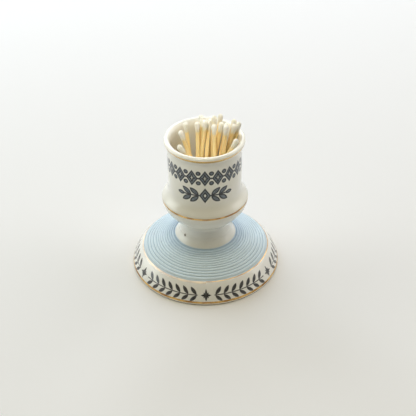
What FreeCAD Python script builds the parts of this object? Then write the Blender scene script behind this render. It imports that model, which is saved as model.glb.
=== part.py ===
import FreeCAD, Part
import math
import os
from FreeCAD import Vector

# A porcelain match striker: one turned casting with a cup for the matches on top
# and a ribbed cone round its foot, on which a match is struck. All sizes are in
# millimetres. The origin is the centre of the foot, +Z points up, and the side
# that faces the viewer is -Y.

# Foot and skirt
base_radius = 43.3          # widest point, on the lip at the very bottom
lip_height = 1.9            # thin upright lip below the skirt
lip_round = 0.9             # rounding of the lip's lower edge
lip_lean = 0.35             # how far the lip leans in at its top
foot_ring_width = 3.2       # unglazed ring that the piece stands on
skirt_bulge = 0.8           # how far the skirt swells out from a straight line
base_wall = 4.0             # thickness of the skirt and of the cone

# Ribbed cone, the striking surface
cone_edge_radius = 36.6
cone_edge_height = 12.1
cone_top_radius = 18.0
cone_rise = 7.8             # how much higher the cone's top is than its edge
fine_ribs = 8               # close ribs beside the stem
coarse_ribs = 4             # wider ribs towards the edge
rib_ratio = 1.28            # a wide rib against a close one
rib_depth = 0.40
crest_share = 0.5           # flat top of a rib, as a part of its width
rib_margin_inner = 0.5      # plain band between the stem and the first rib
rib_margin_outer = 0.9      # plain band between the last rib and the skirt

# Stem
flare_height = 5.2          # height of the stem's flared foot above the cone's top
flare_radius = 15.2         # radius of the stem where that foot ends
flare_toe = 0.6             # how far the curve of that foot reaches in at its lower end
flare_pull = 1.8            # length of that curve's handles
flare_step = 0.25           # small ledge where the neck is let into the flared foot
neck_radius = 14.1
neck_height = 29.6          # height of the narrowest point
neck_ease = 2.7             # handle of the curve that runs up to the narrowest point
stem_bore = 9.4             # radius of the hollow inside the stem
bore_dome = 4.7             # height of the rounded top of that hollow
bore_flare = 3.1            # handle of the curve where the hollow opens out
turn_inset = 1.0            # how far inside the cone's top the hollow's curve starts
turn_pull = 5.3             # handle of that curve under the cone
knee_inset = 2.4            # how far inside the cone's edge the hollow's corner lies
web = 7.0                   # porcelain between the hollow and the floor of the cup

# Cup
shoulder_radius = 24.6
shoulder_height = 46.6
bowl_pull = 8.8             # length of the curve's handle below the shoulder
neck_pull = 3.0             # length of the curve's handle above the neck
wall_radius = 20.8
cove_height = 7.4           # height of the hollow curve from the shoulder to the wall
cove_pull_low = 1.85        # that curve's handle at the shoulder
cove_pull_high = 4.45       # and its handle at the wall
cup_wall = 2.4
cup_depth = 44.0            # from the crest of the rim to the floor
cup_corner = 5.0            # rounding between wall and floor
body_height = 85.0
rim_radius = 22.6
rim_roll = 1.5              # radius of the rolled rim's outer half
rim_neck = 3.9              # height of the small curve below the roll
rim_pull_low = 2.2          # that curve's handle at the wall
rim_pull_high = 0.9         # and its handle under the roll
mouth_depth = 5.0           # height over which the mouth opens out
mouth_pull_low = 3.0        # handle of the mouth's curve at the bore
mouth_pull_high = 1.5       # and its handle at the crest

# Matches
match_length = 52.0
stick_width = 2.2           # square stick
stick_edge = 0.45           # rounding of the stick's long edges
head_radius = 1.55
head_length = 4.4
head_grip = 2.6             # length of stick that is dipped
head_coat = 0.3             # thickness of the dip at its lower edge
match_gap = 0.10            # least free space between two matches
floor_gap = 0.05            # free space under the lowest corner of a match
head_share = 1.5            # length over which others keep a head's distance, in head lengths
push_share = 0.55           # part of a lack of room that each of two matches gives way
push_rounds = 400           # most rounds of pushing apart
push_slack = 0.001          # lack of room that is too small to push for

# Where each match stands and where its top leans, chosen by hand as shares of the
# room inside the cup: foot across, foot back, top across, top back.
match_places = [
    (0.85, -0.20, -1.05, -0.70),
    (0.50, -0.60, -0.65, -0.05),
    (-0.05, -0.60, -0.50, 0.20),
    (-0.30, -0.80, -0.20, 0.35),
    (-0.25, -0.20, -0.05, 0.70),
    (-0.40, -0.45, 0.05, 0.30),
    (0.00, -0.90, 0.15, 0.45),
    (0.35, -0.85, 0.25, 0.35),
    (0.15, 0.10, 0.50, 0.70),
    (0.05, -0.60, 0.50, 0.10),
    (0.35, -0.60, 0.60, 0.10),
    (0.30, -0.45, 0.75, 0.15),
    (0.45, -0.10, 0.90, 0.35),
    (0.20, -0.30, 1.00, 0.10),
    (-0.50, -0.60, 1.10, -0.30),
    (0.05, 0.00, 0.30, 0.60),
    (-0.20, -0.10, -0.05, 0.50),
    (0.40, -0.30, 1.05, 0.20),
]

cone_top_height = cone_edge_height + cone_rise
flare_top = cone_top_height + flare_height
cup_radius = wall_radius - cup_wall
crest_radius = rim_radius - rim_roll
cup_floor = body_height - cup_depth
bore_top = cup_floor - web
cone_slope = cone_rise / (cone_edge_radius - cone_top_radius)
cone_drop = base_wall * math.sqrt(1 + cone_slope ** 2)


def at(radius, height):
    """A point of the outline, in the plane that is turned round the axis."""
    return Vector(radius, 0, height)


def line(a, b):
    return Part.makeLine(a, b)


def arc(a, middle, b):
    return Part.Arc(a, middle, b).toShape()


def curve(*poles):
    """A smooth curve whose inner poles set its directions at the ends."""
    bezier = Part.BezierCurve()
    bezier.setPoles(list(poles))
    return bezier.toShape()


def bulged(a, b, height):
    """An arc from a to b that swells outwards (or up) by height."""
    chord = b - a
    outwards = Vector(chord.z, 0, -chord.x).normalize()
    return arc(a, (a + b) * 0.5 + outwards * height, b)


def cone_point(radius):
    """A point on the plain cone that the ribs stand on."""
    return at(radius, cone_edge_height + (cone_edge_radius - radius) * cone_slope)


def rib_edges():
    """The ribs from the skirt up to the stem, each a ridge with a flat crest between two valleys."""
    span = cone_edge_radius - rib_margin_outer - cone_top_radius - rib_margin_inner
    fine = span / (fine_ribs + coarse_ribs * rib_ratio)
    widths = [fine * rib_ratio] * coarse_ribs + [fine] * fine_ribs
    radius = cone_edge_radius - rib_margin_outer
    up = Vector(cone_slope, 0, 1).normalize() * rib_depth
    points = [cone_point(cone_edge_radius), cone_point(radius)]
    for width in widths:
        middle = radius - width / 2
        crest = crest_share * width / 2
        points.append(cone_point(middle + crest) + up)
        points.append(cone_point(middle - crest) + up)
        points.append(cone_point(radius - width))
        radius -= width
    points.append(cone_point(cone_top_radius))
    return [line(a, b) for a, b in zip(points, points[1:])]


def lip_edges():
    """The rounded lower edge of the lip, its side and the skirt above it."""
    low = at(base_radius - lip_round, 0)
    side = at(base_radius, lip_round)
    top = at(base_radius - lip_lean, lip_height)
    half = lip_round * math.sqrt(0.5)
    middle = at(base_radius - lip_round + half, lip_round - half)
    return [arc(low, middle, side), line(side, top), bulged(top, cone_point(cone_edge_radius), skirt_bulge)]


def stem_edges():
    """The flared foot of the stem, the ledge on it, the neck and the underside of the bowl."""
    toe = cone_point(cone_top_radius)
    flare_end = at(flare_radius, flare_top)
    neck_start = at(flare_radius - flare_step, flare_top)
    neck = at(neck_radius, neck_height)
    shoulder = at(shoulder_radius, shoulder_height)
    return [
        curve(toe, at(toe.x - flare_toe, toe.z + flare_pull),
              at(flare_end.x, flare_end.z - flare_pull), flare_end),
        line(flare_end, neck_start),
        curve(neck_start, at(neck.x, neck.z - neck_ease), neck),
        curve(neck, at(neck.x, neck.z + neck_pull), at(shoulder.x, shoulder.z - bowl_pull), shoulder),
    ]


def cup_edges():
    """The outside of the cup, from the shoulder to the crest of the rolled rim."""
    shoulder = at(shoulder_radius, shoulder_height)
    wall_foot = at(wall_radius, shoulder_height + cove_height)
    roll_side = at(rim_radius, body_height - rim_roll)
    wall_top = at(wall_radius, roll_side.z - rim_neck)
    half = rim_roll * math.sqrt(0.5)
    roll_middle = at(crest_radius + half, roll_side.z + half)
    return [
        curve(shoulder, at(shoulder.x, shoulder.z + cove_pull_low),
              at(wall_foot.x, wall_foot.z - cove_pull_high), wall_foot),
        line(wall_foot, wall_top),
        curve(wall_top, at(wall_top.x, wall_top.z + rim_pull_low),
              at(roll_side.x, roll_side.z - rim_pull_high), roll_side),
        arc(roll_side, roll_middle, at(crest_radius, body_height)),
    ]


def mouth_curve():
    """The curve from the crest of the rim in and down to the bore of the cup."""
    crest = at(crest_radius, body_height)
    bore_rim = at(cup_radius, body_height - mouth_depth)
    return curve(crest, at(crest.x - mouth_pull_high, crest.z),
                 at(bore_rim.x, bore_rim.z + mouth_pull_low), bore_rim)


def bore_edges():
    """The inside of the cup, from the mouth down to the axis."""
    corner = at(cup_radius, cup_floor + cup_corner)
    floor_edge = at(cup_radius - cup_corner, cup_floor)
    half = cup_corner * math.sqrt(0.5)
    middle = at(floor_edge.x + half, corner.z - half)
    return [
        mouth_curve(),
        line(at(cup_radius, body_height - mouth_depth), corner),
        arc(corner, middle, floor_edge),
        line(floor_edge, at(0, cup_floor)),
    ]


def hollow_edges():
    """The hollow in the stem and under the foot, from the axis down to the foot ring."""
    dome_start = at(stem_bore, bore_top - bore_dome)
    bore_foot = at(stem_bore, flare_top)
    turn_radius = cone_top_radius - turn_inset
    turn = at(turn_radius, cone_point(turn_radius).z - cone_drop)
    knee_radius = cone_edge_radius - knee_inset
    knee = at(knee_radius, cone_point(knee_radius).z - cone_drop)
    ring_outer = at(base_radius - lip_round, 0)
    ring_inner = at(ring_outer.x - foot_ring_width, 0)
    return [
        arc(at(0, bore_top), dome_middle(), dome_start),
        line(dome_start, bore_foot),
        curve(bore_foot, at(stem_bore, bore_foot.z - bore_flare),
              at(turn.x - turn_pull, turn.z + turn_pull * cone_slope), turn),
        line(turn, knee),
        line(knee, ring_inner),
        line(ring_inner, ring_outer),
    ]


def dome_middle():
    """A point of the shallow dome that closes the stem's hollow, halfway along its arc."""
    radius = (stem_bore ** 2 + bore_dome ** 2) / (2 * bore_dome)
    angle = math.asin(stem_bore / radius) / 2
    return at(radius * math.sin(angle), bore_top - radius * (1 - math.cos(angle)))


def porcelain_body():
    """The whole casting, turned from its outline."""
    axis = line(at(0, cup_floor), at(0, bore_top))
    edges = lip_edges() + rib_edges() + stem_edges() + cup_edges() + bore_edges() + [axis] + hollow_edges()
    return Part.Face(Part.Wire(edges)).revolve(Vector(0, 0, 0), Vector(0, 0, 1), 360)


def nearest_shares(a, b, c, d):
    """How far along a-b and c-d the two lines come nearest, each from 0 to 1."""
    u = b - a
    v = d - c
    w = a - c
    uu, uv, vv = u.dot(u), u.dot(v), v.dot(v)
    cross = uu * vv - uv * uv
    s = 0.5 if cross < 1e-9 else min(1, max(0, (uv * v.dot(w) - vv * u.dot(w)) / cross))
    t = min(1, max(0, (uv * s + v.dot(w)) / vv))
    s = min(1, max(0, (uv * t - u.dot(w)) / uu))
    return s, t


def held_in(point, limit):
    """The point, moved back towards the axis if it is further out than limit."""
    reach = math.hypot(point.x, point.y)
    if reach <= limit:
        return point
    return Vector(point.x * limit / reach, point.y * limit / reach, point.z)


mouth_middle = mouth_curve().valueAt(0.5)


class Match:
    """The middle line of one match, from the end of its stick to the tip of its head."""

    corner = stick_width / math.sqrt(2) - stick_edge * (math.sqrt(2) - 1)

    def __init__(self, place):
        foot_room = cup_radius - cup_corner
        self.foot = Vector(place[0] * foot_room, place[1] * foot_room, 0)
        self.tip = Vector(place[2] * cup_radius, place[3] * cup_radius, 0)
        self.settle()

    def settle(self):
        """Keep the match inside the cup, with its foot on the floor and its true length."""
        self.foot = held_in(self.foot, cup_radius - cup_corner)
        run = min(math.hypot(self.tip.x - self.foot.x, self.tip.y - self.foot.y), 0.9 * match_length)
        rise = math.sqrt(match_length ** 2 - run ** 2)
        self.foot.z = cup_floor + floor_gap + self.corner * run / match_length
        self.tip.z = self.foot.z + rise
        for level, room in ((body_height - mouth_depth, cup_radius), (mouth_middle.z, mouth_middle.x)):
            share = min(1, (level - self.foot.z) / rise)
            there = self.foot + (self.tip - self.foot) * share
            half = self.girth(share) * match_length / rise + match_gap
            self.tip += (held_in(there, room - half) - there) * (1 / share)
        self.tip = self.foot + (self.tip - self.foot).normalize() * match_length

    def girth(self, share):
        """Half the thickness at a share of the length, as room that others must leave."""
        return head_radius if share > 1 - head_share * head_length / match_length else self.corner

    def point(self, share):
        return self.foot + (self.tip - self.foot) * share

    def push(self, share, step):
        self.foot = self.foot + step * (1 - share)
        self.tip = self.tip + step * share


def nearest_places(one, other, start):
    """Where two matches come nearest, from a share of their lengths up, and the way between."""
    s, t = nearest_shares(one.point(start), one.tip, other.point(start), other.tip)
    s = start + s * (1 - start)
    t = start + t * (1 - start)
    return s, t, one.point(s) - other.point(t)


def spread(matches):
    """Push apart the matches that come too near, until all have room."""
    head_start = 1 - head_length / match_length
    for _ in range(push_rounds):
        moved = False
        for i, one in enumerate(matches):
            for other in matches[:i]:
                for start in (0, head_start):
                    s, t, between = nearest_places(one, other, start)
                    lack = one.girth(s) + other.girth(t) + match_gap - between.Length
                    if lack > push_slack:
                        step = Vector(between.x, between.y, 0).normalize() * (push_share * lack)
                        one.push(s, step)
                        other.push(t, step * -1)
                        moved = True
        for match in matches:
            match.settle()
        if not moved:
            return matches
    return matches


def square_section(width, edge):
    """A square with rounded corners, as a face in the XY plane."""
    half = width / 2
    flat = half - edge
    slant = edge * math.sqrt(0.5)
    edges = []
    for quarter in range(4):
        turn = FreeCAD.Rotation(Vector(0, 0, 1), 90 * quarter)
        start, end = Vector(half, -flat, 0), Vector(half, flat, 0)
        corner_end = Vector(flat, half, 0)
        corner_middle = Vector(flat + slant, flat + slant, 0)
        points = [turn.multVec(p) for p in (start, end, corner_middle, corner_end)]
        edges += [line(points[0], points[1]), arc(points[1], points[2], points[3])]
    return Part.Face(Part.Wire(edges))


def head_outline():
    """Half the outline of the dipped head: its lower edge, its side and its round tip."""
    lower = Vector(stick_width / 2 + head_coat, 0, 0)
    side = Vector(head_radius, 0, head_length - head_radius)
    half = head_radius * math.sqrt(0.5)
    tip = Vector(0, 0, head_length)
    return [
        line(Vector(0, 0, 0), lower),
        line(lower, side),
        arc(side, Vector(half, 0, side.z + half), tip),
        line(tip, Vector(0, 0, 0)),
    ]


def match_solids(match):
    """The square stick and the drop-shaped head round its end."""
    stick_length = match_length - head_length + head_grip
    stick = square_section(stick_width, stick_edge).extrude(Vector(0, 0, stick_length))
    head = Part.Face(Part.Wire(head_outline())).revolve(Vector(0, 0, 0), Vector(0, 0, 1), 360)
    head.translate(Vector(0, 0, match_length - head_length))
    head = head.cut(stick)
    way = match.tip - match.foot
    placing = FreeCAD.Placement(match.foot, FreeCAD.Rotation(Vector(0, 0, 1), way))
    stick.Placement = placing
    head.Placement = placing.multiply(head.Placement)
    return stick, head


def save(name, shape):
    solids = shape.Solids
    print(name, len(solids), "solid", "valid" if shape.isValid() else "NOT VALID",
          "volume %.1f" % sum(s.Volume for s in solids))
    (solids[0] if len(solids) == 1 else Part.makeCompound(solids)).exportStep("parts/" + name + ".step")


os.makedirs("parts", exist_ok=True)
save("porcelain_body", porcelain_body())
for number, standing in enumerate(spread([Match(place) for place in match_places]), 1):
    wood, dip = match_solids(standing)
    save("match_%02d_stick" % number, wood)
    save("match_%02d_head" % number, dip)
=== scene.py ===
# %% [markdown]
# # A porcelain match striker
#
# Such strikers stood on bar tables. A cup holds loose wooden matches, and a matt cone with turned
# ribs below it lights them. The whole thing is one casting, so it could be made in two ways: from
# many cylinders and cones, or by turning one outline round the axis, as the potter does. Turning
# is used here, because every curve then flows into the next one as it does on the real piece.
#
# The solids come from the packed frame. They fix every size. This file adds the looks.

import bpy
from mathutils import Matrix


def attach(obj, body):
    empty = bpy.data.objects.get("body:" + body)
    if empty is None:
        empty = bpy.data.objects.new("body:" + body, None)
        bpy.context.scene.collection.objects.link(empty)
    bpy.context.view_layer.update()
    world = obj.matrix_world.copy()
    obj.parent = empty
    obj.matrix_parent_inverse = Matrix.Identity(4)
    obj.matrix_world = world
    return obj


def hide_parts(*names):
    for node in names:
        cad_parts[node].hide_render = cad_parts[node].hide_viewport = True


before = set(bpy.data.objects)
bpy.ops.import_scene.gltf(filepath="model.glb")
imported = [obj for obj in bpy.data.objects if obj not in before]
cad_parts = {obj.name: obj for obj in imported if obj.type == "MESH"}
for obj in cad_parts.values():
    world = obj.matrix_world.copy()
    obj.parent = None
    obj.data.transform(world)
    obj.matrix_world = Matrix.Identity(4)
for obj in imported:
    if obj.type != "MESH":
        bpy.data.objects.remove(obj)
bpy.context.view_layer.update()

# %% Tools that the cells use
import math
import random

import bmesh
import bpy
import numpy as np
from mathutils import Matrix, Vector, noise

MM = 0.001

# %% [markdown]
# ## Shader maths as plain Python
#
# A finish is a tree of small nodes. Written node by node, even a ring of gold takes twenty lines.
# So a Wire stands for a value on its way through the tree, and arithmetic on it adds the Math
# nodes. A Finish holds one tree, and all its other nodes come from its node method, which sets
# a node's settings first, because some sockets exist only after that.

# %% The Wire and Finish classes
class Wire:
    """A value on its way through a tree. Arithmetic on it adds Math nodes."""

    def __init__(self, finish, socket):
        self.finish = finish
        self.socket = socket

    def __add__(self, other):
        return self.finish.math("ADD", self, other)

    def __sub__(self, other):
        return self.finish.math("SUBTRACT", self, other)

    def __rsub__(self, other):
        return self.finish.math("SUBTRACT", other, self)

    def __mul__(self, other):
        return self.finish.math("MULTIPLY", self, other)

    def __truediv__(self, other):
        return self.finish.math("DIVIDE", self, other)

    def __neg__(self):
        return self.finish.math("MULTIPLY", self, -1)

    def __abs__(self):
        return self.finish.math("ABSOLUTE", self)

    __radd__ = __add__
    __rmul__ = __mul__

    def root(self):
        return self.finish.math("SQRT", self)

    def fraction(self):
        return self.finish.math("FRACT", self)

    def least(self, other):
        return self.finish.math("MINIMUM", self, other)

    def most(self, other):
        return self.finish.math("MAXIMUM", self, other)

    def rise(self, low, high):
        """0 below low, 1 above high and a soft step between. It falls where low is the larger."""
        sockets = {"Value": self, "From Min": low, "From Max": high}
        return self.finish.node("MapRange", {"interpolation_type": "SMOOTHSTEP"}, sockets)


class Finish:
    """The node tree of one material, or of the world."""

    def __init__(self, block):
        self.block = block
        block.use_nodes = True
        self.tree = block.node_tree
        self.tree.nodes.clear()

    def node(self, kind, settings=None, sockets=None, output=0):
        """Add a node: its settings, then its sockets' values or links. Returns one output."""
        made = self.tree.nodes.new("ShaderNode" + kind)
        for name, value in (settings or {}).items():
            setattr(made, name, value)
        for key, value in (sockets or {}).items():
            if isinstance(value, Wire):
                self.tree.links.new(value.socket, made.inputs[key])
            else:
                made.inputs[key].default_value = value
        return Wire(self, made.outputs[output]) if len(made.outputs) else None

    def math(self, operation, *values):
        return self.node("Math", {"operation": operation}, dict(enumerate(values)))

    def scaled(self, vector, factor):
        return self.node("VectorMath", {"operation": "SCALE"}, {0: vector, "Scale": factor})

    def stretched(self, vector, factors):
        return self.node("VectorMath", {"operation": "MULTIPLY"}, {0: vector, 1: factors})

    def parts(self, vector):
        """The x, y and z of a vector."""
        return [self.node("SeparateXYZ", {}, {0: vector}, axis) for axis in range(3)]

    def mix(self, share, under, over):
        """Colour over laid on colour under, by a share from 0 to 1."""
        return self.node("Mix", {"data_type": "RGBA"}, {0: share, 6: under, 7: over}, 2)

    def cloud(self, place, size, detail=2.0):
        """Soft random blots about size across, between -1 and 1."""
        sockets = {"Vector": place, "Scale": 1 / size, "Detail": detail}
        return self.node("TexNoise", {}, sockets) * 2 - 1

    def bumps(self, height, depth):
        """A normal from a height between 0 and 1, where 1 stands depth metres proud."""
        return self.node("Bump", {}, {"Height": height, "Distance": depth, "Strength": 1.0})

    def surface(self, sockets):
        """Close the tree with a Principled shader."""
        shader = self.node("BsdfPrincipled", {}, sockets)
        self.node("OutputMaterial", {}, {"Surface": shader})
        print(self.block.name, "has", len(self.tree.nodes), "nodes")
        return self.block


def rgb(red, green, blue):
    """A colour in linear light."""
    return (red, green, blue, 1.0)


print("a Wire has", sum(callable(part) for part in vars(Wire).values()), "operations")

# %% [markdown]
# ## The outline of the casting
#
# The outline could be typed in again, but then a change to the solid would leave this file
# behind. It is read from the frame instead: the casting's mesh is cut by the upright plane
# through its axis, and the cut edges on the right-hand side make one chain of points, from the
# hollow in the stem, down under the foot, up the outside, over the rim and down to the floor
# of the cup.

# %% Read the outline
def cut_outline(node):
    """The chain of (radius, height) points in mm where the plane y = 0 cuts a turned node."""
    mesh = bmesh.new()
    mesh.from_mesh(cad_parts[node].data)
    near = 1e-6
    bmesh.ops.remove_doubles(mesh, verts=mesh.verts, dist=near)
    everything = mesh.verts[:] + mesh.edges[:] + mesh.faces[:]
    cut = bmesh.ops.bisect_plane(
        mesh, geom=everything, dist=near, plane_co=(0, 0, 0), plane_no=(0, 1, 0))
    edges = [e for e in cut["geom_cut"] if isinstance(e, bmesh.types.BMEdge)]
    edges = [e for e in edges if min(v.co.x for v in e.verts) > -near]
    beside = {}
    for edge in edges:
        a, b = edge.verts
        beside.setdefault(a, []).append(b)
        beside.setdefault(b, []).append(a)
    ends = [v for v in beside if len(beside[v]) == 1]
    walk = [min(ends, key=lambda v: v.co.z)]
    while True:
        ways = [v for v in beside[walk[-1]] if len(walk) < 2 or v is not walk[-2]]
        if not ways:
            break
        walk.append(ways[0])
    chain = [(v.co.x / MM, v.co.z / MM) for v in walk]
    mesh.free()
    return [(0.0, chain[0][1])] + [p for p in chain if p[0] > 0.01] + [(0.0, chain[-1][1])]


raw_outline = cut_outline("porcelain_body")
print("points read from the cut:", len(raw_outline))

# %% [markdown]
# ## Softened edges
#
# Glaze and biscuit never keep a sharp edge. A bevel modifier could round the turned mesh, but on
# an outline it is simpler: each corner is cut back a little on both sides and bridged by a small
# curve. The ribs get their round crests and valleys this way. Between the corners the points are
# laid out anew, close together where the outline bends and far apart where it runs straight. The
# outer edge of the foot is sponged rounder than the rest, so that it doesn't chip, and a thin
# dark line of shadow runs under it.

# %% Soften and even out the outline
CORNER_TURN = math.radians(14)
CORNER_CUT = 0.34
FOOT_CUT = 0.85
CORNER_SHARE = 0.46
CORNER_STEPS = 3
STEP_TURN = math.radians(8)
STEP_LENGTH = 1.6
ON_TABLE = 0.01


def turn_at(points, i):
    """How sharply the outline turns at one of its points, in radians."""
    before = Vector(points[i]) - Vector(points[i - 1])
    after = Vector(points[i + 1]) - Vector(points[i])
    return abs(before.angle_signed(after))


def runs_between_corners(points):
    """The outline as runs of points, each from one corner to the next."""
    corners = [i for i in range(1, len(points) - 1) if turn_at(points, i) > CORNER_TURN]
    stops = [0] + corners + [len(points) - 1]
    return [points[a:b + 1] for a, b in zip(stops, stops[1:])]


def length_of(run):
    return sum(math.dist(a, b) for a, b in zip(run, run[1:]))


def point_on(run, distance):
    """The point at a distance along a run."""
    for a, b in zip(run, run[1:]):
        piece = math.dist(a, b)
        if distance <= piece:
            return tuple(Vector(a).lerp(Vector(b), distance / piece))
        distance -= piece
    return run[-1]


def laid_out(run, cut_start, cut_end):
    """Points along a run without its cut ends, closer together where it bends."""
    spent = [0.0]
    far = [0.0]
    for i, (a, b) in enumerate(zip(run, run[1:])):
        bend = turn_at(run, i + 1) if i + 2 < len(run) else 0.0
        far.append(far[-1] + math.dist(a, b))
        spent.append(spent[-1] + math.dist(a, b) / STEP_LENGTH + bend / STEP_TURN)
    low, high = np.interp([cut_start, far[-1] - cut_end], far, spent)
    count = max(1, math.ceil(high - low))
    places = np.interp(np.linspace(low, high, count + 1), spent, far)
    return [point_on(run, d) for d in places]


def wished_cut(corner, reach):
    """How far a corner is cut back: further where the outermost edge meets the table."""
    at_foot_edge = corner[0] > reach - 0.1 and corner[1] < 0.1
    return FOOT_CUT if at_foot_edge else CORNER_CUT


def softened(points):
    """The outline with rounded corners and evenly spread points."""
    runs = runs_between_corners(points)
    lengths = [length_of(run) for run in runs]
    reach = max(radius for radius, _ in points)
    wished = [wished_cut(run[-1], reach) for run in runs]
    cuts = [min(cut, CORNER_SHARE * min(a, b)) for cut, a, b in zip(wished, lengths, lengths[1:])]
    made = []
    for i, run in enumerate(runs):
        cut_start = cuts[i - 1] if i else 0.0
        cut_end = cuts[i] if i < len(cuts) else 0.0
        part = laid_out(run, cut_start, cut_end)
        if made:
            start, corner, end = Vector(made[-1]), Vector(run[0]), Vector(part[0])
            for step in range(1, CORNER_STEPS):
                t = step / CORNER_STEPS
                made.append(tuple(start.lerp(corner, t).lerp(corner.lerp(end, t), t)))
        made += part
    return made


outline = softened(raw_outline)
rim_crest = max(range(len(outline)), key=lambda i: outline[i][1])
resting = [i for i, point in enumerate(outline) if point[1] < ON_TABLE]
foot_edge = max(resting, key=lambda i: outline[i][0])
print("points in the outline:", len(outline), "- foot edge", foot_edge, "- rim crest", rim_crest)

# %% [markdown]
# ## Turning the casting
#
# Blender's Screw modifier turns an outline too. Here the rings are built directly, because each
# vertex also carries a number, `outside`, which is 1 on the outer side and 0 in the hollow and
# the bore. The finish needs it: the outer cone and the hollow below it have the same radius, and
# only the outer one is blue.

# %% Turn the outline
SEGMENTS = 240


def turned(name, points, segments, marks):
    """A closed mesh turned from an outline in mm whose two ends lie on the axis."""
    angles = np.arange(segments) * 2 * math.pi / segments
    rings = np.array(points[1:-1]) * MM
    verts = np.empty((len(rings), segments, 3))
    verts[:, :, 0] = np.outer(rings[:, 0], np.cos(angles))
    verts[:, :, 1] = np.outer(rings[:, 0], np.sin(angles))
    verts[:, :, 2] = rings[:, 1, None]
    poles = [(0, 0, points[0][1] * MM), (0, 0, points[-1][1] * MM)]
    after = np.roll(np.arange(segments), -1)
    faces = []
    for ring in range(len(rings) - 1):
        low, high = ring * segments, (ring + 1) * segments
        faces += [(low + a, low + b, high + b, high + a) for a, b in enumerate(after)]
    first_pole = len(rings) * segments
    last = (len(rings) - 1) * segments
    faces += [(first_pole, b, a) for a, b in enumerate(after)]
    faces += [(first_pole + 1, last + a, last + b) for a, b in enumerate(after)]
    mesh = bpy.data.meshes.new(name)
    mesh.from_pydata(verts.reshape(-1, 3).tolist() + poles, [], faces)
    mesh.shade_smooth()
    values = np.concatenate([np.repeat(marks[1:-1], segments), [marks[0], marks[-1]]])
    mesh.attributes.new("outside", "FLOAT", "POINT").data.foreach_set("value", values)
    piece = bpy.data.objects.new(name, mesh)
    bpy.context.scene.collection.objects.link(piece)
    return piece


outside = [1.0 if foot_edge <= i <= rim_crest else 0.0 for i in range(len(outline))]
casting = turned("striker_casting", outline, SEGMENTS, outside)
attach(casting, "root")
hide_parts("porcelain_body")
triangles = sum(len(face.vertices) - 2 for face in casting.data.polygons)
print("triangles of the casting:", triangles)

# %% [markdown]
# ## Where things are on the casting
#
# A decorator sets the piece on a banding wheel and holds the brush still. The finish works in
# the same terms: the height above the table, the radius, and the turn of the wheel, which is 0
# at the front and grows to the right. All three come from the object's own coordinates, so the
# painting stays on the piece from every side, and no unwrapping is needed.

# %% Radius, height and turn
porcelain = Finish(bpy.data.materials.new("glazed, gilt and striking porcelain"))
place = porcelain.scaled(porcelain.node("TexCoord", {}, {}, "Object"), 1 / MM)
x, y, height = porcelain.parts(place)
radius = (x * x + y * y).root()
wheel = porcelain.math("ARCTAN2", x, -y)
outer = porcelain.node("Attribute", {"attribute_name": "outside"}, {}, "Fac").rise(0.4, 0.6)
shake = porcelain.cloud(place, 5.0)
print("the wheel turns from", -math.pi, "to", math.pi)

# %% [markdown]
# ## The striking cone
#
# The cone is left unglazed and stained a matt pale blue, and its ribs give the match something
# to scrape on. The ribs are real shape. The finish only needs to know how high a point lies on
# its rib, because the blue is darker in the valleys and paler on the crests. That is the height
# above a plain cone, which a straight line from the cone's edge to its top gives. The valleys at
# the very edge and by the stem are shallow and are painted less dark. By the stem, where the bowl
# overhangs the cone, a wider band of painted shade darkens the blue.

# %% Stain on the ribs
EDGE_RADIUS, EDGE_HEIGHT = 36.6, 12.1
TOP_RADIUS, TOP_HEIGHT = 18.0, 19.9
RIB_DEPTH = 0.40
STEM_SHADE_WIDTH = 7.5
cone_slope = (TOP_HEIGHT - EDGE_HEIGHT) / (EDGE_RADIUS - TOP_RADIUS)
above_cone = height - EDGE_HEIGHT - (EDGE_RADIUS - radius) * cone_slope
on_rib = (above_cone / (RIB_DEPTH * math.hypot(1, cone_slope))).rise(0.05, 0.70)
on_rib = on_rib.most(radius.rise(EDGE_RADIUS - 2.4, EDGE_RADIUS - 1.3) * 0.75)
on_rib = on_rib.most(radius.rise(TOP_RADIUS + 0.6, TOP_RADIUS + 0.3) * 0.6)
cone_mask = outer * (radius + shake * 0.10).rise(TOP_RADIUS - 0.5, TOP_RADIUS - 0.1)
cone_mask = cone_mask * (radius + shake * 0.08).rise(EDGE_RADIUS + 0.02, EDGE_RADIUS - 0.12)
cone_mask = cone_mask * height.rise(TOP_HEIGHT + 1.0, TOP_HEIGHT + 0.6)

valley_blue = rgb(0.270, 0.390, 0.500)
crest_blue = rgb(0.740, 0.870, 0.960)
# The darkest blue is painted shade, for the band by the stem under the bowl.
stem_shade_blue = rgb(0.260, 0.360, 0.470)
chalk_blue = rgb(0.760, 0.880, 0.950)
chalk = porcelain.cloud(place, 3.2, 4.0)
grit = porcelain.cloud(place, 0.35, 2.0)
# Painted shade: the cone darkens towards the stem, where the bowl overhangs it, most in the
# valleys.
stem_shade = radius.rise(TOP_RADIUS + STEM_SHADE_WIDTH, TOP_RADIUS + 1.5) * (1 - on_rib * 0.4) * 0.60
chalky = (chalk * 0.5 + grit * 0.3 + 0.25).rise(0.1, 0.9) * 0.35
stain = porcelain.mix(on_rib, valley_blue, crest_blue)
stain = porcelain.mix(stem_shade, stain, stem_shade_blue)
stain = porcelain.mix(chalky, stain, chalk_blue)
print("slope of the cone:", round(math.degrees(math.atan(cone_slope)), 1), "degrees")

# %% [markdown]
# Struck matches leave short grey scrapes on the crests, along the ribs rather than across them,
# because a ringed cone guides the head sideways. They are thin here, as this piece has seen
# little use.

# %% Scrapes
ALONG_RIB, ACROSS_RIB, UPWARDS = 3.0, 1.1, 0.2
stretches = {0: wheel * ALONG_RIB, 1: radius * ACROSS_RIB, 2: height * UPWARDS}
scrape_place = porcelain.node("CombineXYZ", {}, stretches)
scrapes = porcelain.cloud(scrape_place, 1.0, 3.0).rise(0.34, 0.62) * on_rib * 0.22
stain = porcelain.mix(scrapes, stain, rgb(0.36, 0.40, 0.42))
scrape_length = EDGE_RADIUS / ALONG_RIB
print("a scrape at the edge is up to", round(scrape_length, 1), "mm long")
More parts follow.
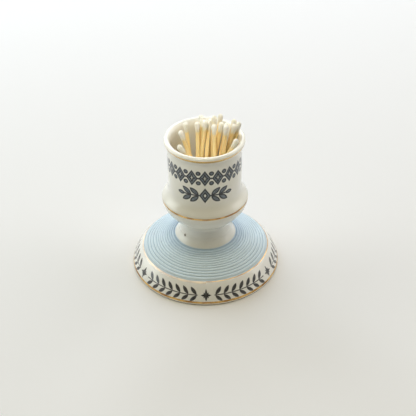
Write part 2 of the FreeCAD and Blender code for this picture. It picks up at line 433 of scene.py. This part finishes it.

# %% [markdown]
# ## White glaze
#
# Clear glaze over white porcelain is nearly even. What makes it look real is small: a warm tint
# that comes and goes, a few iron specks from the clay, and a surface that ripples slightly. The
# bore and the skirt are painted whiter: painted light, for the light that falls into the cup and
# onto the skirt. The larger pit on the left of the stem is one burst speck.

# %% Glaze colour and specks
SKIRT_TOP = 11.0
warm_white, cool_white = rgb(0.845, 0.828, 0.735), rgb(0.870, 0.856, 0.775)
bore_painted_light, skirt_painted_light = rgb(0.900, 0.890, 0.830), rgb(0.965, 0.955, 0.905)
glaze = porcelain.mix(porcelain.cloud(place, 14.0).rise(-0.5, 0.6), warm_white, cool_white)
# Painted light: a whiter glaze in the bore and on the skirt stands in for the light falling there.
glaze = porcelain.mix(outer, bore_painted_light, glaze)
glaze = porcelain.mix(height.rise(SKIRT_TOP + 3.0, SKIRT_TOP) * outer, glaze, skirt_painted_light)
speck_cells = porcelain.node("TexVoronoi", {}, {"Vector": place, "Scale": 0.22})
speck_luck = porcelain.cloud(place, 9.0).rise(0.18, 0.30)
specks = speck_cells.rise(0.045, 0.030) * speck_luck * 0.55
glaze = porcelain.mix(specks, glaze, rgb(0.30, 0.24, 0.17))

PIT = Vector((-11.75, -9.75, 24.6))
PIT_SIZE = 0.90
from_pit = porcelain.node("VectorMath", {"operation": "DISTANCE"}, {0: place, 1: PIT}, "Value")
pit = (from_pit + grit * 0.18).rise(PIT_SIZE, PIT_SIZE * 0.45)
pit_halo = (from_pit + grit * 0.2).rise(PIT_SIZE * 1.7, PIT_SIZE) * 0.35
glaze = porcelain.mix(pit_halo, glaze, rgb(0.62, 0.52, 0.38))
glaze = porcelain.mix(pit, glaze, rgb(0.10, 0.075, 0.05))
print("the pit is", round(math.hypot(PIT.x, PIT.y), 1), "mm from the axis")

# %% [markdown]
# ## Drawing with distances
#
# The borders are painted under the glaze. An image could hold them, but a drawn shape stays
# sharp at any size: each motif is a formula that says how far a point is from its edge, with
# minus signs inside. The nearest of several shapes is their union, and a thin band round
# distance 0 is the outline of the brush.

# %% Motif shapes
INK_SOFT = 0.10


def lozenge(u, v, half_width, half_height):
    """A lozenge, by its distance from the nearest side."""
    inside = half_width * half_height / math.hypot(half_width, half_height)
    return (abs(u) * (1 / half_width) + abs(v) * (1 / half_height) - 1) * inside


def disc(u, v, size):
    return (u * u + v * v).root() - size


def leaf(u, v, half_length, half_width):
    """A leaf with two points, which lies along u: the overlap of two large discs."""
    size = (half_length ** 2 + half_width ** 2) / (2 * half_width)
    return disc(u, abs(v) + (size - half_width), size)


def tilted(u, v, degrees):
    """The coordinates of a sheet that is turned anticlockwise by an angle."""
    c, s = math.cos(math.radians(degrees)), math.sin(math.radians(degrees))
    return u * c + v * s, v * c - u * s


def inked(distance):
    """1 inside a shape, 0 outside."""
    return distance.rise(INK_SOFT, -INK_SOFT)


def repeated(turn, count, size):
    """A motif's own sideways coordinate in mm, for count of them round a circle of that radius."""
    pitch = 2 * math.pi * size / count
    return ((turn * (count / (2 * math.pi)) + 0.5).fraction() - 0.5) * pitch


print("the edge of a motif is soft over", 2 * INK_SOFT, "mm")

# %% [markdown]
# ## The borders of the cup
#
# A row of lozenges goes all the way round, with a white flower cut out of each and beads in
# between. Below it, at the front alone, is a short spray: a small lozenge with leaves to both
# sides. Both are filled in blue-grey and edged with a darker line.

# %% Lozenges round the cup
CUP_RADIUS = 20.8
LOZENGES = 18
BAND_HEIGHT = 71.4
hand_u = shake * 0.16
hand_v = porcelain.cloud(place, 4.0) * 0.16
on_cup = outer * radius.rise(20.0, 20.3) * height.rise(52.0, 53.0)

u = repeated(wheel, LOZENGES, CUP_RADIUS) + hand_u
v = height - BAND_HEIGHT + hand_v
petals = leaf(u, v, 1.25, 0.34).least(leaf(v, u, 1.9, 0.36))
lozenges = lozenge(u, v, 3.25, 4.7).most(-petals)
half_pitch = math.pi * CUP_RADIUS / LOZENGES
between_u = half_pitch - abs(u)
BEAD, SMALL_BEAD, BEAD_HEIGHT = 1.25, 0.40, 3.1
beads = disc(between_u, abs(v) - BEAD_HEIGHT, BEAD).least(disc(between_u, v, SMALL_BEAD))
row = lozenges.least(beads)
print("border of", LOZENGES, "lozenges, each", round(2 * half_pitch, 2), "mm apart")

# %% The spray below them
SPRAY_HEIGHT = 60.1
STALK_START, STALK_END = 2.0, 13.2
LEAF_HALF_LENGTH, LEAF_HALF_WIDTH = 3.1, 1.35
spray_leaves = [(6.0, 2.5, 40), (6.0, -2.5, -40), (10.4, 2.3, 36), (10.4, -2.3, -36)]
u = wheel * CUP_RADIUS + hand_u
v = height - SPRAY_HEIGHT + hand_v
side = abs(u)
spray = lozenge(u, v, 3.1, 4.7).most(-lozenge(u, v, 0.85, 1.5))
for out, up, lean in spray_leaves:
    along_leaf, across_leaf = tilted(side - out, v - up, lean)
    spray = spray.least(leaf(along_leaf, across_leaf, LEAF_HALF_LENGTH, LEAF_HALF_WIDTH))
stalk = (abs(v) - 0.30).most(side - STALK_END).most(STALK_START - side)
spray = spray.least(stalk).least(leaf(side - STALK_END - 0.7, v, 2.1, 1.10))
print("the spray has", 2 * len(spray_leaves) + 2, "leaves")

# %% Lay the cup's ink on
drawn = row.least(spray)
wash = inked(drawn) * on_cup
edge_line = inked(abs(drawn + 0.20) - 0.36) * on_cup
bleed = drawn.rise(0.9, 0.0) * on_cup * 0.16
ink_tone = porcelain.cloud(place, 1.6, 3.0).rise(-0.6, 0.6)
wash_blue = porcelain.mix(ink_tone, rgb(0.075, 0.100, 0.122), rgb(0.185, 0.222, 0.248))
glaze = porcelain.mix(bleed, glaze, rgb(0.45, 0.49, 0.50))
glaze = porcelain.mix(wash, glaze, wash_blue)
glaze = porcelain.mix(edge_line, glaze, rgb(0.016, 0.022, 0.028))
print("nodes so far:", len(porcelain.tree.nodes))

# %% [markdown]
# ## The border of the skirt
#
# The skirt carries a laurel garland in near black, a border that is found on tableware
# everywhere: a thin stalk with leaves that slant away from it in pairs. The leaves point away
# from the front on both sides, and a small flower sits at the front, at the back and at four
# places between, where the garlands meet.

# %% Laurel round the skirt
SKIRT_RADIUS = 40.6
SKIRT_HEIGHT = 5.9
LEAF_PAIRS = 54
FLOWERS = 6
on_skirt = outer * radius.rise(37.6, 37.9) * height.rise(2.3, 2.5)

leaf_pitch = 2 * math.pi * SKIRT_RADIUS / LEAF_PAIRS
u = repeated(abs(wheel) + math.pi / LEAF_PAIRS, LEAF_PAIRS, SKIRT_RADIUS) + hand_u * 0.7
v = (height - SKIRT_HEIGHT) * 1.14 + hand_v * 0.7
upper_leaf = leaf(*tilted(u, abs(v) - 2.2, 47), 2.75, 1.00)
garland = upper_leaf.least(abs(v) - 0.26)

flower_u = repeated(wheel, FLOWERS, SKIRT_RADIUS) + hand_u * 0.7
slant_u, slant_v = tilted(flower_u, v, 45)
upright_cross = leaf(flower_u, v, 2.9, 0.85).least(leaf(v, flower_u, 3.6, 0.85))
slanted_cross = leaf(slant_u, slant_v, 2.2, 0.55).least(leaf(slant_v, slant_u, 2.2, 0.55))
flower = upright_cross.least(slanted_cross)
garland = garland.most(leaf_pitch - abs(flower_u)).least(flower)
skirt_ink = inked(garland) * on_skirt * (ink_tone * 0.08 + 0.92)
skirt_bleed = garland.rise(0.7, 0.0) * on_skirt * 0.12
glaze = porcelain.mix(skirt_bleed, glaze, rgb(0.50, 0.50, 0.47))
glaze = porcelain.mix(skirt_ink, glaze, rgb(0.014, 0.014, 0.015))
print(LEAF_PAIRS, "pairs of leaves,", round(leaf_pitch, 2), "mm apart")

# %% [markdown]
# ## Gilt lines
#
# Four lines of gold were banded on last, over the glaze: under the rim, on the shoulder, at the
# edge of the cone and at the foot. Each was drawn in one turn of the wheel, so its width wanders.
# The line at the cone ends a little beside where it began, at the front, and on its way round
# it grows wider and fades, most on the left. Thin gold fires brown, so each line shifts between
# brown and bright. The thick line at the rim is painted yellower and brighter, a painted
# reflection.

# %% Gold
def band(distance, width, wander=0.10):
    """A brushed line: 1 where the distance to its middle is under half its width."""
    waver = porcelain.cloud(place, 6.0) * wander
    return (abs(distance + waver) - width / 2).rise(0.10, -0.10) * outer


RIM_LINE, SHOULDER_LINE, FOOT_LINE = 82.60, 46.32, 1.80
CONE_LINE = 36.55
lap = (wheel * (1 / (2 * math.pi))).fraction()
rim_gold = band(height - RIM_LINE, 1.95, 0.10) * radius.rise(20.2, 20.4)
shoulder_gold = band(height - SHOULDER_LINE, 1.10) * radius.rise(22.5, 23.0)
line_width = lap * 0.60 + 0.30
cone_gold = band(radius - CONE_LINE - line_width / 2, line_width, 0.05) * height.rise(10.6, 10.8)
foot_gold = band(height - FOOT_LINE, 1.10, 0.12) * radius.rise(41.0, 41.4)

# %% Wear and tone of the gold
gold_mask = rim_gold.most(shoulder_gold).most(cone_gold).most(foot_gold)
rubbed = porcelain.cloud(place, 1.3, 3.0).rise(0.34, 0.62)
gold_mask = gold_mask * (1 - rubbed * 0.45) * (1 - cone_gold * lap.rise(0.15, 0.95) * 0.55)
brown_gold, bright_gold = rgb(0.330, 0.165, 0.050), rgb(0.740, 0.475, 0.165)
rim_gold_painted_reflection = rgb(0.860, 0.600, 0.210)
gold = porcelain.mix(porcelain.cloud(place, 4.5, 3.0).rise(-0.35, 0.30), brown_gold, bright_gold)
# Painted reflection: the line at the rim is made yellower and brighter than the other lines.
gold = porcelain.mix(height.rise(60.0, 75.0) * 0.6, gold, rim_gold_painted_reflection)
print("gilt lines at", RIM_LINE, SHOULDER_LINE, FOOT_LINE, "mm up and", CONE_LINE, "mm out")

# %% [markdown]
# ## One material for the casting
#
# The masks come together here. The glaze is a clear coat over a duller white body, so the coat
# is on wherever there is neither stain nor gold nor the bare clay of the foot ring. Gold is the
# only metal. A thin brown band of painted shadow runs round the bottom, under the lowest gilt
# line, where the foot meets the table. Bumps give the ripple of the glaze, the tooth of the
# biscuit and the sunk pit.

# %% Put the masks together
bare_foot = height.rise(0.35, 0.12)
colour = porcelain.mix(cone_mask, glaze, stain)
# Painted shadow: a thin brown band at the very bottom, where the foot meets the table.
painted_contact_shadow = height.rise(1.20, 0.15) * (1 - gold_mask) * (grit * 0.15 + 0.90)
colour = porcelain.mix(bare_foot, colour, rgb(0.68, 0.64, 0.56))
colour = porcelain.mix(painted_contact_shadow, colour, rgb(0.230, 0.170, 0.095))
colour = porcelain.mix(gold_mask, colour, gold)

matt = cone_mask.most(bare_foot)
coated = (1 - matt) * (1 - gold_mask) * (1 - pit * 0.7)
roughness = 0.42 + matt * 0.36 - gold_mask * (1 - matt) * 0.16 + cone_gold * 0.22 + rubbed * 0.05
RELIEF_DEPTH = 0.06 * MM
ripple = porcelain.cloud(place, 7.0, 1.0) * 0.30 + porcelain.cloud(place, 1.8, 1.0) * 0.05
tooth = grit * matt * 0.35
relief = ripple * (1 - matt) + tooth + gold_mask * 0.25 - pit * 3.0 - specks
porcelain.surface({
    "Base Color": colour,
    "Metallic": gold_mask,
    "Roughness": roughness,
    "Specular IOR Level": 0.15,
    "Coat Weight": coated,
    "Coat Roughness": 0.06,
    "Coat IOR": 1.5,
    "Normal": porcelain.bumps(relief, RELIEF_DEPTH),
})
casting.data.materials.append(porcelain.block)

# %% [markdown]
# ## Reading a match from the frame
#
# Each match is a stick and a dipped head, and both lean in their own way. To dress a stick, its
# own solid is measured: the vertices at its two ends give the middles of the ends, and those
# that lie furthest from the middle line show where its long edges are.

# %% Measure the sticks
MATCHES = 18
END_SLICE = 0.5 * MM


def vertices_of(node):
    """The places of a node's vertices, each once."""
    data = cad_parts[node].data
    flat = np.empty(len(data.vertices) * 3)
    data.vertices.foreach_get("co", flat)
    return np.unique(flat.reshape(-1, 3).round(7), axis=0)


class Lie:
    """How one match lies: its lower end, its direction, two square sides and its lengths."""

    def __init__(self, number):
        self.number = number
        stick = vertices_of("match_%02d_stick" % number)
        head = vertices_of("match_%02d_head" % number)
        centre = stick.mean(axis=0)
        way = np.linalg.svd(stick - centre)[2][0]
        way = way if way[2] > 0 else -way
        along = (stick - centre) @ way
        low = stick[along < along.min() + END_SLICE].mean(axis=0)
        high = stick[along > along.max() - END_SLICE].mean(axis=0)
        self.foot = Vector(low)
        self.way = Vector(high - low).normalized()
        self.stick_length = (high - low) @ np.array(self.way)
        head_along = (head - low) @ np.array(self.way)
        self.tip_length = head_along.max()
        self.head_length = self.tip_length - head_along.min()
        off_axis = head - low - np.outer(head_along, self.way)
        self.head_radius = np.linalg.norm(off_axis, axis=1).max()
        self.measure_sides(stick - low)

    def measure_sides(self, points):
        """Find the square section's sides from the fourfold pattern of its corners."""
        across = self.way.orthogonal().normalized()
        other = self.way.cross(across)
        a, b = points @ np.array(across), points @ np.array(other)
        fourfold = ((a + 1j * b) ** 4).sum()
        corner = math.atan2(fourfold.imag, fourfold.real) / 4
        turn = corner + math.pi / 4
        self.side = across * math.cos(turn) + other * math.sin(turn)
        self.face = self.way.cross(self.side)
        self.half = float(np.abs(points @ np.array(self.side)).max())

    def at(self, along, side, face):
        """A place on the match, from its own three directions."""
        return self.foot + self.way * along + self.side * side + self.face * face


matches = [Lie(number) for number in range(1, MATCHES + 1)]
print("matches:", len(matches), "- stick half width", round(matches[0].half / MM, 2), "mm",
      "- head radius", round(matches[0].head_radius / MM, 2), "mm")

# %% [markdown]
# ## Match sticks
#
# Matches are split from aspen, so a stick has a rounded square section that is never quite even.
# A plain box with a bevel would look machined. Here each ring of the stick is built from its
# section, and its sides wander by a few hundredths of a millimetre. Three coordinates in
# millimetres, across and along the stick, are kept on the mesh as `grain`, so that the wood
# grain follows each stick however it leans.

# %% Build the sticks
STICK_RINGS = 22
SECTION_CORNER = 0.40 * MM
CORNER_POINTS = 4
UNEVEN_SHARE = 0.03
UNEVEN_ACROSS, UNEVEN_ALONG = 0.8, 0.12


def square_section(half, corner):
    """Points round a square with rounded corners."""
    points = []
    for quarter in range(4):
        turn = Matrix.Rotation(math.pi / 2 * quarter, 2)
        middle = turn @ Vector((half - corner, half - corner))
        for step in range(CORNER_POINTS):
            angle = math.pi / 2 * (quarter + step / (CORNER_POINTS - 1))
            points.append(middle + Vector((math.cos(angle), math.sin(angle))) * corner)
    return points


def tube(name, rings):
    """A mesh from rings of points of equal count, with a flat face on each end."""
    count = len(rings[0])
    verts = [p for ring in rings for p in ring]
    faces = []
    for r in range(len(rings) - 1):
        for i in range(count):
            j = (i + 1) % count
            faces.append((r * count + i, r * count + j, (r + 1) * count + j, (r + 1) * count + i))
    last = (len(rings) - 1) * count
    faces.append(tuple(reversed(range(count))))
    faces.append(tuple(range(last, last + count)))
    mesh = bpy.data.meshes.new(name)
    mesh.from_pydata(verts, [], faces)
    mesh.shade_smooth()
    piece = bpy.data.objects.new(name, mesh)
    bpy.context.scene.collection.objects.link(piece)
    return piece


def stick_piece(match):
    """One splint, with its grain coordinates."""
    luck = random.Random(match.number)
    drift = luck.uniform(0, 100)
    section = square_section(match.half, SECTION_CORNER)
    rings, grain = [], []
    for k in range(STICK_RINGS):
        along = match.stick_length * k / (STICK_RINGS - 1)
        ring = []
        for p in section:
            across = p / MM
            drawn_out = along / MM * UNEVEN_ALONG + drift
            uneven = noise.noise(Vector((*across * UNEVEN_ACROSS, drawn_out)))
            squeeze = 1 - UNEVEN_SHARE * (uneven + 0.6)
            ring.append(match.at(along, p.x * squeeze, p.y * squeeze))
            grain.append((across.x + drift, across.y, along / MM))
        rings.append(ring)
    piece = tube("match_%02d_splint" % match.number, rings)
    lay = piece.data.attributes.new("grain", "FLOAT_VECTOR", "POINT")
    lay.data.foreach_set("vector", [v for g in grain for v in g])
    return piece


sticks = [stick_piece(match) for match in matches]
print("faces of a stick:", len(sticks[0].data.polygons))

# %% [markdown]
# ## The wood
#
# Aspen is pale and almost without figure: fine fibres along the stick, faint darker streaks and
# a silky shine. Noise that is stretched a hundred times along the stick gives the fibres. Where
# the head begins, the dip has crept up the fibres and leaves the wood white for a few
# millimetres, with a ragged edge.

# %% Wood finish
wood = Finish(bpy.data.materials.new("split aspen"))
grain = wood.node("Attribute", {"attribute_name": "grain"}, {}, "Vector")
along = wood.parts(grain)[2]
fibres = wood.cloud(wood.stretched(grain, (9.0, 9.0, 0.16)), 1.0, 3.0)
streaks = wood.cloud(wood.stretched(grain, (1.6, 1.6, 0.05)), 1.0, 2.0)
stick_tone = wood.cloud(wood.stretched(grain, (0.03, 0.0, 0.0)), 1.0, 0.0)
dark_fibre, pale_fibre = rgb(0.925, 0.690, 0.300), rgb(0.960, 0.815, 0.470)
honey = wood.mix((fibres * 0.55 + streaks * 0.6).rise(-0.5, 0.6), dark_fibre, pale_fibre)
honey = wood.mix(stick_tone.rise(-0.4, 0.5) * 0.30, honey, rgb(0.90, 0.61, 0.25))

FIBRE_DEPTH = 0.03 * MM
DIP_LINE = (matches[0].tip_length - matches[0].head_length) / MM
creep = (along + fibres * 1.1 + streaks * 0.5).rise(DIP_LINE - 2.2, DIP_LINE - 0.4)
colour = wood.mix(creep * 0.70, honey, rgb(0.930, 0.880, 0.740))
wood.surface({
    "Base Color": colour,
    "Specular IOR Level": 0.3,
    "Subsurface Weight": 0.20,
    "Subsurface Radius": (1.0, 0.7, 0.4),
    "Subsurface Scale": 1.2 * MM,
    "Roughness": 0.52 + fibres * 0.08 + creep * 0.1,
    "Normal": wood.bumps(fibres, FIBRE_DEPTH),
})
for piece, match in zip(sticks, matches):
    piece.data.materials.append(wood.block)
    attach(piece, "root")
    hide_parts("match_%02d_stick" % match.number)

# %% [markdown]
# ## Match heads
#
# A head is made by dipping: the paste climbs the stick in a thin coat and swells to a drop at
# the end. A sphere on a stick would look like a pin. Each head is a tube of rings here, square
# like the stick where the coat begins and round at the drop, with the small lumps of a dip that
# dried as it hung.

# %% Build the heads
HEAD_RINGS = 22
HEAD_SEGMENTS = 28
COAT = 0.10 * MM
COAT_LENGTH = 1.0 * MM
LUMP_SHARE = 0.05
RAGGED_EDGE = 0.5 * MM
SQUARE_PART = 1 / 1.9
CORNER_REACH = 1.16


def head_reach(match, share):
    """How far the drop stands from the middle line at a share of its length, 1 at the tip."""
    length = match.head_length + COAT_LENGTH
    left = (1 - share) * length
    drop = match.head_radius
    if left < drop:
        return math.sqrt(max(0.0, drop ** 2 - (drop - left) ** 2))
    swell = 1 - (left - drop) / (length - drop)
    swell = swell * swell * (3 - 2 * swell)
    start = match.half + COAT
    return start + (drop - start) * swell


def head_piece(match):
    """One dipped head."""
    drift = match.number * 7.3
    length = match.head_length + COAT_LENGTH
    start = match.tip_length - length
    rings, thickness = [], []
    for k in range(HEAD_RINGS):
        share = math.sin(math.pi / 2 * k / (HEAD_RINGS - 1)) ** 1.15
        reach = head_reach(match, min(share, 0.9995))
        squareness = max(0.0, 1 - share / SQUARE_PART)
        ring = []
        for i in range(HEAD_SEGMENTS):
            angle = 2 * math.pi * i / HEAD_SEGMENTS
            c, s = math.cos(angle), math.sin(angle)
            square = 1 / max(abs(c), abs(s))
            out = 1 + (min(square, CORNER_REACH) - 1) * squareness
            lump = noise.noise(Vector((c * 1.1, s * 1.1, share * 3.5 + drift)))
            ragged = noise.noise(Vector((c * 1.6, s * 1.6, drift + 40))) * (1 - share) ** 2
            far = reach * out * (1 + LUMP_SHARE * (lump - 0.55) * min(1.0, share * 2.0))
            along = start + share * length + ragged * RAGGED_EDGE
            ring.append(match.at(along, c * far, s * far))
            thickness.append(share)
        rings.append(ring)
    piece = tube("match_%02d_tip" % match.number, rings)
    piece.data.attributes.new("dip", "FLOAT", "POINT").data.foreach_set("value", thickness)
    return piece


heads = [head_piece(match) for match in matches]
print("faces of a head:", len(heads[0].data.polygons))

# %% [markdown]
# ## The dip
#
# The paste dries to a chalky off-white. It is thin where it begins, and lets the wood show as a
# warm tint. Fine bumps and a few pin holes keep it from looking like plastic.

# %% Chalky paste
paste = Finish(bpy.data.materials.new("dried striking paste"))
spot = paste.scaled(paste.node("TexCoord", {}, {}, "Object"), 1 / MM)
dip = paste.node("Attribute", {"attribute_name": "dip"}, {}, "Fac")
lumps = paste.cloud(spot, 1.1, 3.0)
powder = paste.cloud(spot, 0.25, 3.0)
cream = paste.mix(lumps.rise(-0.5, 0.6), rgb(0.925, 0.890, 0.770), rgb(0.945, 0.915, 0.840))
cream = paste.mix(dip.rise(0.45, 0.0) * 0.65, cream, rgb(0.900, 0.800, 0.570))
pin_holes = paste.node("TexVoronoi", {}, {"Vector": spot, "Scale": 1.3}).rise(0.16, 0.08)
cream = paste.mix(pin_holes * 0.30, cream, rgb(0.62, 0.54, 0.40))
POWDER_DEPTH = 0.05 * MM
paste.surface({
    "Base Color": cream,
    "Specular IOR Level": 0.25,
    "Subsurface Weight": 0.2,
    "Subsurface Radius": (1.0, 0.9, 0.7),
    "Subsurface Scale": 1.0 * MM,
    "Roughness": 0.74 + powder * 0.08,
    "Normal": paste.bumps(lumps * 0.5 + powder * 0.4 - pin_holes * 0.8, POWDER_DEPTH),
})
for piece, match in zip(heads, matches):
    piece.data.materials.append(paste.block)
    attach(piece, "root")
    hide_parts("match_%02d_head" % match.number)

# %% [markdown]
# ## The table
#
# The piece stands on a plain pale round floor, which shows its shadow and throws light up on it.
# Light from the floor is what models the underside of the bowl. The world beyond is white for
# the camera, and faint and warm as light. The glaze and the gold mirror it too: white at the
# back and overhead, and a dim room in front, as they would on a bar.

# %% Floor
FLOOR_RADIUS = 1.3
FLOOR_SIDES = 128
floor_mesh = bpy.data.meshes.new("floor")
turns = [2 * math.pi * i / FLOOR_SIDES for i in range(FLOOR_SIDES)]
floor_rim = [(FLOOR_RADIUS * math.cos(a), FLOOR_RADIUS * math.sin(a), 0) for a in turns]
floor_mesh.from_pydata(floor_rim, [], [tuple(range(FLOOR_SIDES))])
floor = bpy.data.objects.new("floor", floor_mesh)
bpy.context.scene.collection.objects.link(floor)

ground = Finish(bpy.data.materials.new("pale table top"))
haze = ground.cloud(ground.node("TexCoord", {}, {}, "Object"), 0.35, 3.0)
darker, paler = rgb(0.905, 0.910, 0.920), rgb(0.920, 0.925, 0.935)
ground.surface({
    "Base Color": ground.mix(haze.rise(-0.6, 0.6), darker, paler),
    "Roughness": 0.60 + haze * 0.05,
    "Specular IOR Level": 0.15,
})
floor_mesh.materials.append(ground.block)

# %% World
world = bpy.data.worlds.new("studio")
bpy.context.scene.world = world
air = Finish(world)
camera_ray = air.node("LightPath", {}, {}, "Is Camera Ray")
shine_ray = air.node("LightPath", {}, {}, "Is Glossy Ray")
backdrop = rgb(0.95, 0.95, 0.95)
dim_room = rgb(0.30, 0.28, 0.24)
faint_warm = rgb(0.020, 0.016, 0.010)
_, towards_back, upwards = air.parts(air.node("TexCoord", {}, {}, "Generated"))
pale_side = towards_back.rise(-0.7, 0.2).most(upwards.rise(0.45, 0.85))
mirrored = air.mix(pale_side, dim_room, backdrop)
seen = air.mix(shine_ray, faint_warm, mirrored)
seen = air.mix(camera_ray, seen, backdrop)
background = air.node("Background", {}, {"Color": seen, "Strength": 1.0})
air.node("OutputWorld", {}, {"Surface": background})
print("the world has", len(air.tree.nodes), "nodes")
bpy.context.scene.view_settings.view_transform = "Standard"

# %% [markdown]
# ## Lamps
#
# The front of the cup lies in its own shade, the rim is bright, and the shadow falls towards the
# viewer, so the daylight comes from windows behind and at both sides. A wide lamp high in front
# is the warm room. The matches stand in shade like the cup, yet in the picture they glow. A
# narrow beam from above lights them alone, as a lamp over a bar would. It is linked to the
# object's pieces, so that it leaves no bright spot on the table behind.

# %% Set the lamps
MID_HEIGHT = 0.045
HEADS_HEIGHT = 0.086


def hung(light, where, target):
    """Hang a light at a place, looking at a height on the axis."""
    thing = bpy.data.objects.new(light.name, light)
    thing.location = where
    aim = Vector((0, 0, target)) - Vector(where)
    thing.rotation_mode = "QUATERNION"
    thing.rotation_quaternion = aim.to_track_quat("-Z", "Y")
    bpy.context.scene.collection.objects.link(thing)
    return thing


def window(name, where, width, depth, watts, colour):
    """A soft lamp, as wide and high as a window."""
    light = bpy.data.lights.new(name, "AREA")
    light.shape = "RECTANGLE"
    light.size = width
    light.size_y = depth
    light.energy = watts
    light.color = colour
    hung(light, where, MID_HEIGHT)


window("back_window", (-0.24, 1.08, 0.70), 1.45, 0.85, 11.6, (0.86, 0.92, 1.0))
window("left_window", (-1.5, 0.69, 1.06), 1.9, 1.4, 12.6, (1.0, 0.99, 0.96))
window("left_low", (-1.0, 0.1, 0.30), 0.8, 0.5, 1.8, (0.85, 1.0, 1.0))
window("right_window", (1.05, 0.40, 0.85), 1.4, 1.1, 8.5, (0.98, 0.98, 1.0))
window("room", (0.0, -0.48, 1.38), 0.9, 0.9, 5.4, (1.0, 0.88, 0.54))
print("windows:", [light.name for light in bpy.data.lights])

# %% The beam on the matches
beam = bpy.data.lights.new("over_the_matches", "SPOT")
beam.energy = 23
beam.color = (1.0, 0.99, 0.94)
beam.spot_size = math.radians(2.8)
beam.spot_blend = 0.35
beam.shadow_soft_size = 0.02
lit_by_beam = bpy.data.collections.new("lit by the beam")
for piece in [casting] + sticks + heads:
    lit_by_beam.objects.link(piece)
beam_lamp = hung(beam, (-0.17, -0.35, 0.87), HEADS_HEIGHT)
beam_lamp.light_linking.receiver_collection = lit_by_beam

# %% [markdown]
# ## Camera
#
# The camera's place was worked out from the circles of the object: a circle that is seen at a
# slant is an ellipse, and how flat it looks gives the angle. The camera looks down by 36
# degrees from about 57 centimetres away.

# %% Place the camera
PICTURE = 416
FOCAL_PIXELS = 954.7
CAMERA_PLACE = Vector((0, -0.4456, 0.3630))
LOOK_DOWN, LOOK_RIGHT, ROLL = math.radians(36.22), math.radians(0.21), math.radians(-0.45)
view_data = bpy.data.cameras.new("view")
view_data.sensor_width = 36
view_data.lens = view_data.sensor_width * FOCAL_PIXELS / PICTURE
view_data.clip_start = 0.01
camera = bpy.data.objects.new("view", view_data)
sideways = Matrix.Rotation(-LOOK_RIGHT, 4, "Z")
downwards = Matrix.Rotation(math.pi / 2 - LOOK_DOWN, 4, "X")
rolled = Matrix.Rotation(ROLL, 4, "Z")
camera.matrix_world = Matrix.Translation(CAMERA_PLACE) @ sideways @ downwards @ rolled
bpy.context.scene.collection.objects.link(camera)
bpy.context.scene.camera = camera
print("camera", round(CAMERA_PLACE.length, 3), "m away, lens", round(view_data.lens, 1), "mm")
